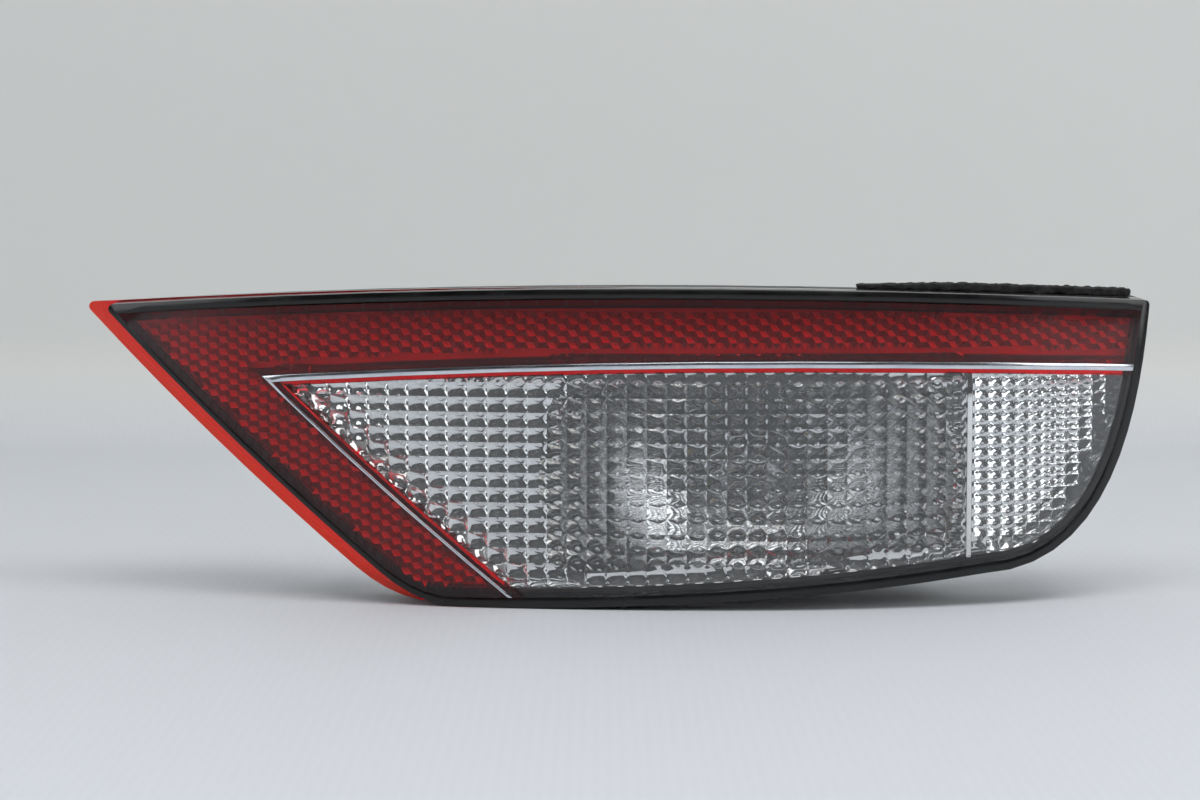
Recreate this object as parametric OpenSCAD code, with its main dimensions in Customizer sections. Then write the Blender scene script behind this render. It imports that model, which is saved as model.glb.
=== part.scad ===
// Rear bumper reverse lamp with a reflex reflector band.
// Seen from the front, X runs to the right, Y runs backwards into the bumper and Z runs up.
// The origin is on the floor under the middle of the lamp.

/* [Face] */
// X of the sharp upper left corner of the lens face
corner_left_x = -147; // [-152:0.5:-140]
// X of the upper right corner of the lens face
corner_right_x = 155.8; // [150:0.1:160]
// Height of the highest point of the lens face
face_top = 89.6; // [84:0.1:96]
// X of the highest point of the lens face
face_top_x = 15; // [0:1:30]
// Radius of the crowned top edge
top_edge_r = 2040; // [1600:10:3000]
// X of the lowest point of the lens face
foot_x = -50; // [-52:1:-40]
// Radius of the crowned bottom edge
bottom_edge_r = 1300; // [1100:10:2000]
// Horizontal run of the slanting left edge, from its top to its foot
slant_run = 90.5; // [86:0.5:94]
// Sideways bow of the slanting left edge
slant_bow = 2.2; // [0:0.1:4]
// Height of the rounding at the lower left corner
foot_round = 9; // [6:0.5:14]
// X at which the bottom edge turns into the rounded right edge
bottom_end_x = 108; // [100:1:116]

/* [Curve in plan] */
// X of the foremost line of the curved face
apex_x = 41.5; // [35:0.5:50]
// Radius of the face to the left of that line
face_r_left = 450; // [420:5:560]
// Radius of the face to the right of that line
face_r_right = 220; // [205:5:280]

/* [Lens] */
// Thickness of the red face and of the clear window
lens_t = 3.2; // [2.6:0.1:3.6]
// Depth of the lens from its face to the back of its flange
lens_depth = 14; // [13:0.5:18]
// Thickness of the lens side wall
skirt_t = 2.5; // [2:0.1:3]
// Thickness of the flange round the lens
flange_t = 2.5; // [2:0.1:3]
// How far the flange shows beyond the gasket on the slanting side
flange_out = 8.2; // [5:0.1:9]
// How far the clear window lies behind the red face
window_step = 1.2; // [0.6:0.1:1.8]

/* [Window] */
// Width of the red band beside the slanting edge, measured sideways
band_w = 26.6; // [24:0.1:30]
// Height of the highest point of the upper edge of the bright strip
strip_top = 72.1; // [69:0.1:74]
// X of that highest point
strip_top_x = 46.5; // [30:0.5:60]
// Radius of the crowned upper edge of the bright strip
strip_r = 1850; // [1500:10:3000]
// Height of the bright strip above the window
strip_h = 2.0; // [1.6:0.1:2.4]
// Width of the bright strip beside the slant, measured sideways
strip_w = 1.4; // [1:0.1:2]
// Depth of the groove that the bright strip lies in
strip_t = 1.0; // [0.6:0.1:1.4]
// Height of the red lip between the bright strip and the window
lip_h = 1.3; // [1:0.1:2]
// Width of the red lip beside the slant, measured sideways
lip_w = 3.4; // [2.6:0.1:4]
// How far the red lip lies behind the red face
lip_step = 0.6; // [0.3:0.1:0.8]

/* [Reflex backing] */
// Depth of the dark plate behind the reflex prisms
backing_depth = 8.3; // [8:0.1:9]
// Thickness of that plate
backing_t = 1.5; // [1.2:0.1:1.8]

/* [Gasket and foam] */
// Width of the rubber gasket round the lens
gasket_w = 3; // [2:0.1:4]
// How much narrower the gasket is on the slanting side, measured sideways
gasket_slim = 1.7; // [0:0.1:2]
// How far the gasket lies behind the face
gasket_step = 1.2; // [0.6:0.1:2]
// X at which the foam strip on the top edge starts
foam_start_x = 71; // [50:1:100]
// Height of the foam strip
foam_t = 2.4; // [1.5:0.1:4]
// Depth of the foam strip
foam_d = 9; // [6:0.5:10]

/* [Housing] */
// Thickness of the housing wall
wall = 2.5; // [2:0.1:3]
// Depth of the wall that stands back from the rim
rim_depth = 11; // [8:0.5:14]
// Distance from the foremost line of the face to the back wall of the lamp chamber
chamber_depth = 61.5; // [60:0.5:66]
// How far the chamber narrows towards its back, above and below
chamber_taper = 3; // [1:0.5:4]
// Outer radius of the collar that the bulb holder turns into
collar_r = 19; // [18:0.5:21]
// Height of that collar behind the back wall
collar_h = 5.5; // [4:0.5:7]
// Thickness of the stiffening ribs
rib_t = 1.8; // [1.2:0.1:2.4]

/* [Reflector] */
// Depth of the bowl from its mouth to its vertex
bowl_depth = 36.8; // [35:0.2:38]
// Depth of the bowl's vertex behind the foremost line of the face
vertex_depth = 57; // [56:0.5:57.5]
// Radius of the hole for the bulb in the bowl
bulb_hole_r = 13.2; // [12.8:0.1:14]
// X of the bulb axis
bulb_x = 40; // [36:1:44]
// Height of the bulb axis
bulb_z = 36; // [34:1:38]
// Radius of the mouth of the bowl
mouth_r = 63; // [60:0.5:65]
// Thickness of the reflector
reflector_t = 1.8; // [1.4:0.1:2.2]
// Depth of the reflector wings behind the face
wing_depth = 9.5; // [8.5:0.1:10]
// Clearance between the reflector and the wall of the lens
reflector_gap = 0.5; // [0.3:0.1:1]

/* [Bulb] */
// Radius of the bulb's glass globe
globe_r = 12.5; // [9:0.1:13]
// Distance of the filament from the vertex of the bowl
filament_out = 27; // [25:0.5:28]
// Distance of the filament from the end of the metal cap
filament_reach = 37.3; // [36:0.1:38]
// Length of the glass neck inside the metal cap
neck_in = 6; // [5:0.5:8]
// Radius of the bulb's metal cap
cap_r = 7.5; // [7:0.1:8]
// Length of the metal cap
cap_l = 16; // [14:0.5:18]
// Wall of the glass
glass_t = 0.8; // [0.5:0.1:1.2]

/* [Bulb holder] */
// Radius of the holder's plug in the housing
plug_r = 14.6; // [14:0.1:15.2]
// Radius of the holder's flange
holder_r = 18.5; // [17.5:0.5:20]
// Thickness of the holder's flange
holder_t = 3; // [2.5:0.1:4]
// Thickness of the rubber ring under the flange
ring_t = 1.5; // [1:0.1:2]
// Outer width of the plug socket
socket_w = 22; // [20:0.5:24]
// Outer height of the plug socket
socket_h = 14; // [12:0.5:16]
// Depth of the plug socket
socket_d = 14.5; // [12:0.5:15]
// Wall of the plug socket
socket_wall = 1.8; // [1.4:0.1:2]

/* [Fixings] */
// Distance of the left fixing boss from the right one
boss_spacing = 232; // [224:1:236]
// Height of both fixing bosses
boss_z = 76.5; // [76:0.5:78]
// X of the right fixing boss
boss_right_x = 130; // [126:1:132]
// Radius of the fixing bosses
boss_r = 5.5; // [5:0.5:6]
// Outer radius of the brass inserts
insert_r = 3.6; // [3.4:0.1:4]
// Radius of the threaded hole in the brass inserts
thread_r = 2.5; // [2:0.1:2.8]
// Length of the brass inserts
insert_l = 12; // [8:0.5:14]
// Radius of the locating pin
pin_r = 3; // [2.5:0.1:3.5]
// Length of the locating pin's straight part
pin_l = 12; // [8:0.5:14]

/* [Hidden] */
$fn = 64;

// Small distance by which a cutting shape runs past what it cuts
past = 1;
// Clearance between pieces that are pushed together
fit = 0.1;
// Half of the lamp's depth, which puts the origin in the middle
front_y = -43;
face_foot = gasket_w;
reach = 400;

// Steps along the round stretches of the outline
top_steps = 12;
right_steps = 14;
bottom_steps = 8;
round_steps = 5;
slant_steps = 8;

// Points on a Bezier curve through its first and last control point
function mix(a, b, t) = a + (b - a) * t;
function bezier(p, t) = len(p) == 1 ? p[0] : bezier([for (i = [0:len(p) - 2]) mix(p[i], p[i + 1], t)], t);
function curve(p, n, from = 0) = [for (i = [from:n]) bezier(p, i / n)];

// The edges of the face, as heights over X or as X over height
function top_z(x) = face_top - pow(x - face_top_x, 2) / (2 * top_edge_r);
function bottom_z(x) = face_foot + pow(x - foot_x, 2) / (2 * bottom_edge_r);
slant_top = top_z(corner_left_x);
function slant_t(z) = (slant_top - z) / (slant_top - face_foot);
function slant_x(z) =
    let (t = slant_t(z))
    corner_left_x + slant_run * t - 4 * slant_bow * t * (1 - t);
function strip_z(x) = strip_top - pow(x - strip_top_x, 2) / (2 * strip_r);

// The face outline starts at the upper left corner and runs clockwise
round_top = face_foot + foot_round;
top_edge = [
    for (i = [0:top_steps])
        let (x = mix(corner_left_x, corner_right_x, i / top_steps))
        [x, top_z(x)]
];
right_edge = curve([
    [corner_right_x, top_z(corner_right_x)],
    [corner_right_x - 2.8, 53],
    [corner_right_x - 11.8, 13],
    [bottom_end_x, bottom_z(bottom_end_x)]
], right_steps, 1);
round_end_x = foot_x + 4;
bottom_edge = [
    for (i = [1:bottom_steps])
        let (x = mix(bottom_end_x, round_end_x, i / bottom_steps))
        [x, bottom_z(x)]
];
foot_corner = curve([
    [round_end_x, bottom_z(round_end_x)],
    [slant_x(face_foot), face_foot],
    [slant_x(round_top), round_top]
], round_steps, 1);
slant_edge = [
    for (i = [1:slant_steps - 1])
        let (z = mix(round_top, slant_top, i / slant_steps))
        [slant_x(z), z]
];

module face_outline() {
    polygon(concat(top_edge, right_edge, bottom_edge, foot_corner, slant_edge));
}

module inset_outline(d) {
    offset(delta = -d) face_outline();
}

module even_outline() {
    offset(r = gasket_w / 2) offset(delta = gasket_w / 2) face_outline();
}

module gasket_outline() {
    intersection() {
        even_outline();
        translate([gasket_slim, 0]) even_outline();
    }
}

module flange_outline() {
    gasket_outline();
    translate([-flange_out, 0]) gasket_outline();
}

// Everything to the right of the slant moved by shift, and below the strip lowered by drop
module window_zone(shift, drop) {
    low = -20;
    high = face_top + 20;
    far = corner_right_x + 40;
    intersection() {
        polygon(concat(
            [for (i = [0:slant_steps]) let (z = mix(low, high, i / slant_steps)) [slant_x(z) + shift, z]],
            [[far, high], [far, low]]
        ));
        polygon(concat(
            [
                for (i = [0:top_steps])
                    let (x = mix(corner_left_x, far, i / top_steps))
                    [x, strip_z(x) - drop]
            ],
            [[far, low], [corner_left_x, low]]
        ));
    }
}

// Bands of the front view, from the red face inwards to the clear window
lip_shift = band_w + strip_w;
lip_drop = strip_h;
window_shift = lip_shift + lip_w;
window_drop = lip_drop + lip_h;
module strip_zone() { window_zone(band_w, 0); }
module lip_zone() { window_zone(lip_shift, lip_drop); }
module clear_zone() { window_zone(window_shift, window_drop); }

// Plan view of the space between two depths behind the curved face
module plan_ring(r, near, behind) {
    translate([apex_x, front_y + r]) difference() {
        circle(r = r - near, $fn = 256);
        circle(r = r - behind, $fn = 256);
    }
}

module plan_band(near, behind) {
    intersection() {
        plan_ring(face_r_left, near, behind);
        translate([apex_x - reach, front_y]) square([reach, face_r_left]);
    }
    intersection() {
        plan_ring(face_r_right, near, behind);
        translate([apex_x, front_y]) square([reach, face_r_right]);
    }
}

// A flat outline cut through the lamp from front to back, between two Y values
module through(y0 = front_y - past, y1 = -front_y + past) {
    translate([0, y1, 0]) rotate([90, 0, 0]) linear_extrude(y1 - y0) children();
}

// A flat outline laid on the curved face, between two depths behind it
module behind_face(near, behind) {
    intersection() {
        through() children();
        translate([0, 0, -past]) linear_extrude(face_top + 20) plan_band(near, behind);
    }
}

// Y of the surface that lies a given depth behind the face
function face_y(x, depth) =
    let (r = x < apex_x ? face_r_left : face_r_right)
    front_y + r - sqrt(pow(r - depth, 2) - pow(x - apex_x, 2));

// A round bar along Y
module bar(x, z, r, y0, y1, fn = 48) {
    translate([x, y1, z]) rotate([90, 0, 0]) cylinder(r = r, h = y1 - y0, $fn = fn);
}

// A block given by its lowest and highest corners
module block(low, high) {
    translate(low) cube(high - low);
}

flange_front = lens_depth - flange_t;
weld_depth = lens_t + window_step;

// Side wall and flange that the red and the clear shot share
module lens_wall() {
    behind_face(0, lens_depth) difference() {
        face_outline();
        inset_outline(skirt_t);
    }
    behind_face(flange_front, lens_depth) difference() {
        flange_outline();
        inset_outline(skirt_t);
    }
}

module red_lens() {
    color([0.62, 0.02, 0.04]) {
        difference() {
            union() {
                lens_wall();
                behind_face(0, lens_t) face_outline();
                behind_face(lens_t, weld_depth) difference() {
                    inset_outline(skirt_t / 2);
                    translate([-2, 0]) offset(delta = 2) strip_zone();
                }
                behind_face(lens_t, weld_depth) intersection() {
                    inset_outline(skirt_t / 2);
                    offset(delta = 1.5) strip_zone();
                }
            }
            through() clear_zone();
            behind_face(-past, strip_t) difference() {
                strip_zone();
                lip_zone();
            }
            behind_face(-past, lip_step) lip_zone();
        }
    }
}

module clear_lens() {
    color([0.85, 0.88, 0.9, 0.45]) {
        behind_face(window_step, weld_depth) intersection() {
            face_outline();
            clear_zone();
        }
        behind_face(window_step, lens_depth) intersection() {
            difference() {
                face_outline();
                inset_outline(skirt_t);
            }
            clear_zone();
        }
        behind_face(flange_front, lens_depth) intersection() {
            difference() {
                flange_outline();
                inset_outline(skirt_t);
            }
            clear_zone();
        }
    }
}

module bright_trim() {
    color([0.86, 0.87, 0.88]) behind_face(0, strip_t) intersection() {
        face_outline();
        difference() {
            strip_zone();
            lip_zone();
        }
    }
}

module perimeter_gasket() {
    color([0.05, 0.05, 0.05]) behind_face(gasket_step, flange_front) difference() {
        gasket_outline();
        face_outline();
    }
}

// The housing rim follows the gasket outline and is closed by a plate behind the lens
rim_back = lens_depth + wall;
module rim_outline() { gasket_outline(); }

module foam_strip() {
    color([0.07, 0.07, 0.07]) behind_face(lens_depth + 1, lens_depth + 1 + foam_d) intersection() {
        difference() {
            translate([0, foam_t]) rim_outline();
            rim_outline();
        }
        translate([foam_start_x, face_top / 2]) square([corner_right_x - foam_start_x, face_top]);
    }
}

module reflex_backing() {
    color([0.12, 0.03, 0.03]) behind_face(backing_depth, backing_depth + backing_t) difference() {
        inset_outline(skirt_t + 0.3);
        offset(delta = 1.9) strip_zone();
    }
}

bead_d = 1.6;
module bead_outline() {
    difference() {
        inset_outline(0.4);
        inset_outline(2.1);
    }
}

module seal_bead() {
    color([0.16, 0.16, 0.15]) behind_face(lens_depth, lens_depth + bead_d) bead_outline();
}

// Mouth of the bowl, as it shows through the window
module mouth_outline(less = 0) {
    intersection() {
        translate([bulb_x, bulb_z]) circle(r = mouth_r - less, $fn = 96);
        offset(delta = -less) intersection() {
            inset_outline(skirt_t + reflector_gap + 1);
            offset(delta = -1) clear_zone();
        }
    }
}

vertex_y = front_y + vertex_depth;
focal_length = mouth_r * mouth_r / (4 * bowl_depth);
bowl_past = 6;
// Solid that fills the bowl in front of its paraboloid, moved back by d
module bowl_fill(d = 0) {
    bands = 14;
    r_out = mouth_r + bowl_past;
    translate([bulb_x, vertex_y + d, bulb_z]) rotate([90, 0, 0]) rotate_extrude($fn = 96)
        polygon(concat(
            [for (i = [0:bands]) let (r = r_out * i / bands) [r, r * r / (4 * focal_length)]],
            [[0, r_out * r_out / (4 * focal_length)]]
        ));
}

screw_xs = [-55, 122];
screw_z = 46;
screw_boss_r = 3.6;
screw_r = 1.5;

module reflector() {
    color([0.8, 0.8, 0.82]) difference() {
        union() {
            difference() {
                intersection() {
                    bowl_fill(reflector_t);
                    through() mouth_outline();
                }
                intersection() {
                    bowl_fill();
                    through() mouth_outline(reflector_t);
                }
                behind_face(-past, wing_depth) square([2 * reach, 2 * reach], center = true);
            }
            behind_face(wing_depth, wing_depth + reflector_t) difference() {
                intersection() {
                    inset_outline(skirt_t + reflector_gap);
                    clear_zone();
                }
                mouth_outline(reflector_t);
            }
            for (x = screw_xs)
                bar(x, screw_z, screw_boss_r, face_y(x, wing_depth + reflector_t / 2), screw_seat_y(x));
        }
        bar(bulb_x, bulb_z, bulb_hole_r, filament_y, vertex_y + reflector_t + past);
        for (x = screw_xs) bar(x, screw_z, screw_r, face_y(x, wing_depth + reflector_t), screw_seat_y(x) + past);
    }
}

// The reflector's screw bosses end where the housing plate's flat seats begin
function screw_seat_y(x) = face_y(x, lens_depth) - 1.5;
function screw_head_y(x) = face_y(x, rim_back) + 2.5;

back_y = front_y + chamber_depth;
collar_y = back_y + collar_h;
chamber_left = bulb_x - mouth_r - bowl_past;
chamber_right = bulb_x + mouth_r + bowl_past;
chamber_slope_left = 24;
chamber_slope_right = 20;

// Plan of the chamber, grown by d, which narrows towards the back
module chamber_plan(d) {
    polygon([
        [chamber_left - d, front_y + lens_depth],
        [chamber_left + chamber_slope_left - d, back_y - wall + d],
        [chamber_right - chamber_slope_right + d, back_y - wall + d],
        [chamber_right + d, front_y + lens_depth]
    ]);
}

// Side view of the chamber, grown by d
chamber_low = 5;
chamber_high = 71.5;
module chamber_side(d) {
    polygon([
        [front_y + lens_depth, chamber_low - d],
        [back_y - wall + d, chamber_low + chamber_taper - d],
        [back_y - wall + d, chamber_high - chamber_taper + d],
        [front_y + lens_depth, chamber_high + d]
    ]);
}

module chamber(d) {
    intersection() {
        linear_extrude(face_top + 20) chamber_plan(d);
        rotate([90, 0, 90]) linear_extrude(2 * reach, center = true) chamber_side(d);
        through() inset_outline(skirt_t + 0.5 - d);
    }
}

// A stiffening rib stands up and down between the chamber and the rim
module upright_rib(x, z0, z1) {
    intersection() {
        translate([x - rib_t / 2, front_y, z0]) cube([rib_t, 2 * reach, z1 - z0]);
        behind_face(lens_depth + 1, lens_depth + rim_depth - 1) inset_outline(0);
    }
}

boss_left_x = boss_right_x - boss_spacing;
boss_y = 22;
tongue_x = 141;
tongue_z = 50;
tongue_w = 14;
tongue_t = 2.4;
tongue_end_y = 30;
pin_x = -70;
pin_z = 24;
pin_seat_y = 8;
vent_x = 84;
vent_z = 24;
vent_r = 3;
notch_w = 5;

module housing() {
    color([0.09, 0.09, 0.1]) difference() {
        union() {
            behind_face(lens_depth, rim_back) rim_outline();
            behind_face(lens_depth, lens_depth + rim_depth) difference() {
                rim_outline();
                offset(delta = -wall) rim_outline();
            }
            difference() {
                chamber(wall);
                behind_face(-past, lens_depth) square([2 * reach, 2 * reach], center = true);
            }
            bar(bulb_x, bulb_z, collar_r, back_y - 1, collar_y);
            for (x = [-118, -88, 128 - boss_r * 3]) upright_rib(x, strip_z(x) - 6, top_z(x));
            for (x = [-40, -5, 30, 65]) upright_rib(x, chamber_high, top_z(x));
            for (x = [boss_left_x, boss_right_x]) bar(x, boss_z, boss_r, face_y(x, rim_back - 1), boss_y);
            bar(pin_x, pin_z, pin_r + 2, face_y(pin_x, rim_back - 1), pin_seat_y);
            bar(pin_x, pin_z, pin_r, pin_seat_y - 1, pin_seat_y + pin_l);
            for (x = screw_xs) bar(x, screw_z, screw_boss_r + 1.2, face_y(x, rim_back - 1), screw_head_y(x));
            block(
                [tongue_x - tongue_t / 2, face_y(tongue_x, rim_back - 1), tongue_z - tongue_w / 2],
                [tongue_x + tongue_t / 2, tongue_end_y, tongue_z + tongue_w / 2]
            );
            bar(vent_x, vent_z, vent_r, back_y - 1, back_y + 8);
        }
        difference() {
            chamber(0);
            behind_face(-past, lens_depth - past) square([2 * reach, 2 * reach], center = true);
        }
        bar(bulb_x, bulb_z, plug_r + 0.6, back_y - wall - past, collar_y + past);
        for (a = [30, 150, 270])
            translate([bulb_x, 0, bulb_z]) rotate([0, a, 0])
                translate([plug_r - 1, back_y - wall - past, -notch_w / 2])
                    cube([3.2, collar_h + wall + 2 * past, notch_w]);
        behind_face(lens_depth - past, lens_depth + bead_d) bead_outline();
        for (x = [boss_left_x, boss_right_x]) bar(x, boss_z, insert_r, boss_y - insert_l, boss_y + past);
        for (x = screw_xs) {
            bar(x, screw_z, screw_boss_r + fit, face_y(x, lens_depth) - 6, screw_seat_y(x));
            bar(x, screw_z, screw_r + 0.3, face_y(x, lens_depth) - 6, screw_head_y(x) + past);
        }
        bar(vent_x, vent_z, vent_r / 2, back_y - wall - past, back_y + 8 + past);
    }
}

filament_y = vertex_y - filament_out;
cap_end_y = filament_y + filament_reach;
cap_start_y = cap_end_y - cap_l;

// Profile of the globe and its neck, as radius over distance along the axis
module globe_profile(less) {
    neck_r = cap_r - 0.6 - less;
    intersection() {
        union() {
            circle(r = globe_r - less);
            translate([0, -(cap_start_y + neck_in - filament_y)])
                square([neck_r, cap_start_y + neck_in - filament_y]);
        }
        translate([0, -reach / 2]) square([reach, reach]);
    }
}

module bulb_glass() {
    color([0.9, 0.92, 0.94, 0.4])
        translate([bulb_x, filament_y, bulb_z]) rotate([90, 0, 0]) rotate_extrude($fn = 64) difference() {
            globe_profile(0);
            intersection() {
                globe_profile(glass_t);
                translate([0, -(cap_start_y - filament_y)]) square([reach, reach]);
            }
        }
}

module bulb_cap() {
    color([0.72, 0.6, 0.36]) {
        difference() {
            bar(bulb_x, bulb_z, cap_r, cap_start_y, cap_end_y - 1);
            bar(bulb_x, bulb_z, cap_r - 0.6, cap_start_y - past, cap_end_y - 2);
            bar(bulb_x, bulb_z, cap_r - 2, cap_start_y - past, cap_end_y);
        }
        for (s = [-1, 1])
            translate([bulb_x + s * (cap_r - 0.4), cap_end_y - 6.5, bulb_z]) rotate([0, 90 * s, 0])
                cylinder(r = 1, h = 1.6, $fn = 32);
    }
}

module bulb_contact() {
    color([0.12, 0.12, 0.12]) {
        bar(bulb_x, bulb_z, cap_r - 2, cap_end_y - 2, cap_end_y - 0.6);
        bar(bulb_x, bulb_z, 2.4, cap_end_y - 0.8, cap_end_y + 0.4);
    }
}

coil_half = 3;
lead_r = 0.35;
module bulb_filament() {
    color([0.55, 0.55, 0.58]) {
        for (s = [-1, 1]) bar(bulb_x + s * coil_half, bulb_z, lead_r, filament_y, cap_start_y + neck_in - 1, 16);
        translate([bulb_x - coil_half - lead_r, filament_y, bulb_z]) rotate([0, 90, 0])
            cylinder(r = 0.5, h = 2 * (coil_half + lead_r), $fn = 24);
        translate([bulb_x - coil_half - 1, cap_start_y - 4, bulb_z - 1]) cube([2 * coil_half + 2, 2, 2]);
    }
}

ring_y = collar_y;
flange_y = ring_y + ring_t;
socket_y = flange_y + holder_t;
cup_r = cap_r + 2.8;
blade_gap = 8;
blade = [0.8, 9, 2.8];

module bulb_holder() {
    color([0.2, 0.2, 0.21]) difference() {
        union() {
            bar(bulb_x, bulb_z, cup_r, back_y - wall - 3, flange_y + 1);
            bar(bulb_x, bulb_z, plug_r, back_y - wall - 1, flange_y + 1);
            bar(bulb_x, bulb_z, holder_r, flange_y, socket_y);
            for (a = [60, 180, 300])
                translate([bulb_x, 0, bulb_z]) rotate([0, a, 0])
                    translate([plug_r - 1, back_y - wall - 2.2, -notch_w / 2 + 0.4])
                        cube([2.6, 2, notch_w - 0.8]);
            block(
                [bulb_x - socket_w / 2, socket_y - 1, bulb_z - socket_h / 2],
                [bulb_x + socket_w / 2, socket_y + socket_d, bulb_z + socket_h / 2]
            );
            block([bulb_x - 1.5, socket_y - 1, bulb_z + socket_h / 2 - 1], [bulb_x + 1.5, socket_y + 8, bulb_z + 16]);
            block([bulb_x - 1.5, socket_y - 1, bulb_z - 16], [bulb_x + 1.5, socket_y + 8, bulb_z - socket_h / 2 + 1]);
        }
        bar(bulb_x, bulb_z, cap_r + fit, back_y - wall - 3 - past, cap_end_y + 0.4);
        for (s = [-1, 1])
            block(
                [bulb_x + s * (cap_r + 0.7) - 1.2, back_y - wall - 3 - past, bulb_z - 1.2],
                [bulb_x + s * (cap_r + 0.7) + 1.2, cap_end_y - 5, bulb_z + 1.2]
            );
        block(
            [bulb_x - socket_w / 2 + socket_wall, socket_y + 2, bulb_z - socket_h / 2 + socket_wall],
            [bulb_x + socket_w / 2 - socket_wall, socket_y + socket_d + past, bulb_z + socket_h / 2 - socket_wall]
        );
        for (s = [-1, 1]) terminal_path(s, fit);
    }
}

// A terminal runs from the bulb's cap through the holder and ends in a blade in the plug socket
module terminal_path(s, grow = 0) {
    x = bulb_x + s * blade_gap / 2;
    block(
        [x - blade[0] / 2 - grow, cap_end_y - (s > 0 ? 8 : -0.4), bulb_z - blade[2] / 2 - grow],
        [x + blade[0] / 2 + grow, socket_y + 2 + (grow > 0 ? past : blade[1]), bulb_z + blade[2] / 2 + grow]
    );
}

module terminal_live() {
    color([0.75, 0.73, 0.66]) terminal_path(-1);
}

module terminal_earth() {
    color([0.75, 0.73, 0.66]) terminal_path(1);
}

module holder_seal() {
    color([0.06, 0.06, 0.06]) difference() {
        bar(bulb_x, bulb_z, collar_r - 0.6, ring_y, flange_y);
        bar(bulb_x, bulb_z, plug_r, ring_y - past, flange_y + past);
    }
}

module vent_cap() {
    color([0.06, 0.06, 0.06]) difference() {
        union() {
            bar(vent_x, vent_z, vent_r + 2, back_y + 0.2, back_y + 10);
            bar(vent_x, vent_z, vent_r + 2.8, back_y + 0.2, back_y + 2);
        }
        bar(vent_x, vent_z, vent_r, back_y - past, back_y + 8);
        block([vent_x - 1, back_y + 8 - 1, vent_z - vent_r - 3], [vent_x + 1, back_y + 9, vent_z]);
    }
}

module insert(x) {
    color([0.78, 0.62, 0.3]) difference() {
        bar(x, boss_z, insert_r, boss_y - insert_l, boss_y + 0.4);
        bar(x, boss_z, thread_r, boss_y - insert_l + 2, boss_y + past);
    }
}

module reflector_screw(x) {
    color([0.65, 0.65, 0.67]) difference() {
        union() {
            bar(x, screw_z, screw_r, face_y(x, wing_depth + reflector_t) + 0.2, screw_head_y(x) + 1);
            bar(x, screw_z, 3.4, screw_head_y(x), screw_head_y(x) + 2);
        }
        for (a = [0, 90])
            translate([x, screw_head_y(x) + 1, screw_z]) rotate([0, a, 0])
                translate([-2, 0, -0.5]) cube([4, past + 1, 1]);
    }
}

clip_t = 0.6;
clip_l = 13;
clip_w = 10;
module spring_clip() {
    end = tongue_end_y + clip_t;
    start = end - clip_l;
    half = tongue_t / 2;
    leg = [
        [half, end - clip_t], [half, start + 2], [half + 2, start], [half + 2 + clip_t, start],
        [half + clip_t, start + 2.3], [half + clip_t, end]
    ];
    color([0.6, 0.6, 0.62]) translate([tongue_x, 0, tongue_z - clip_w / 2]) linear_extrude(clip_w)
        polygon(concat(leg, [for (i = [len(leg) - 1:-1:0]) [-leg[i][0], leg[i][1]]]));
}

red_lens();
clear_lens();
bright_trim();
perimeter_gasket();
foam_strip();
reflex_backing();
seal_bead();
reflector();
housing();
bulb_glass();
bulb_cap();
bulb_contact();
bulb_filament();
bulb_holder();
holder_seal();
terminal_live();
terminal_earth();
vent_cap();
insert(boss_left_x);  // insert_left
insert(boss_right_x);  // insert_right
reflector_screw(screw_xs[0]);  // reflector_screw_left
reflector_screw(screw_xs[1]);  // reflector_screw_right
spring_clip();
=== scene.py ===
"""Looks of a bumper reverse light: a two-shot lens over a metallised reflector on a moulded housing."""

import logging
import math
from dataclasses import dataclass, field
from enum import Enum
from typing import Callable

import bpy
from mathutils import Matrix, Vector

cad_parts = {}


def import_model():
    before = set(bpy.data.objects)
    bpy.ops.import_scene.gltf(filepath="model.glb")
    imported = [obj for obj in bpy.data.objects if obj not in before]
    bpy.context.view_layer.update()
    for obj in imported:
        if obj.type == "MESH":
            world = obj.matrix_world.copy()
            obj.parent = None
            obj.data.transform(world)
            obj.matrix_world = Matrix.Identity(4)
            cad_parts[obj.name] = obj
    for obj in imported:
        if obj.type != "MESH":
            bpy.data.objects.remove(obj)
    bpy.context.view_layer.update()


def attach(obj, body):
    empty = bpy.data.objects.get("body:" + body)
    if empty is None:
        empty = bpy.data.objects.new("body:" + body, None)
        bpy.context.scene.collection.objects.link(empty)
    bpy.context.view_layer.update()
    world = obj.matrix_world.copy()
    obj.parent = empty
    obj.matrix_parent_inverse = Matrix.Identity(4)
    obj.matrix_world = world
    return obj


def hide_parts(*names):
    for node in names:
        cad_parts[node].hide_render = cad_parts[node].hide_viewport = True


LOG = logging.getLogger("reverse_light")
MM = 0.001
MERGE_MM = 0.003
FLAT_DEGREES = 0.5
CORNER_DEGREES = 40.0
SOFT_DEGREES = 60.0
ROOT_STEPS = 24
CORNER_PASSES = 8

Colour = tuple[float, float, float, float]
Point = tuple[float, float, float]

DUST_TINT: Colour = (0.42, 0.41, 0.39, 1.0)


class Slot(str, Enum):
    """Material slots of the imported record."""

    RED_LENS = "red_lens"
    CLEAR_LENS = "clear_lens"
    BRIGHT_TRIM = "bright_trim"
    GASKET = "gasket_rubber"
    FOAM = "foam"
    REFLEX_BACKING = "reflex_backing"
    SEAL_BEAD = "seal_bead"
    REFLECTOR = "reflector"
    HOUSING = "housing"
    BULB_GLASS = "bulb_glass"
    BULB_CAP = "bulb_cap"
    BULB_CONTACT = "bulb_contact"
    BULB_FILAMENT = "bulb_filament"
    BULB_HOLDER = "bulb_holder"
    TERMINAL = "terminal"
    INSERT = "insert_brass"
    SCREW = "screw_steel"
    SPRING = "spring_steel"


class Shading(Enum):
    """How the faces of a finished piece meet."""

    FACETED = "faceted"
    SMOOTH = "smooth"


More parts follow.
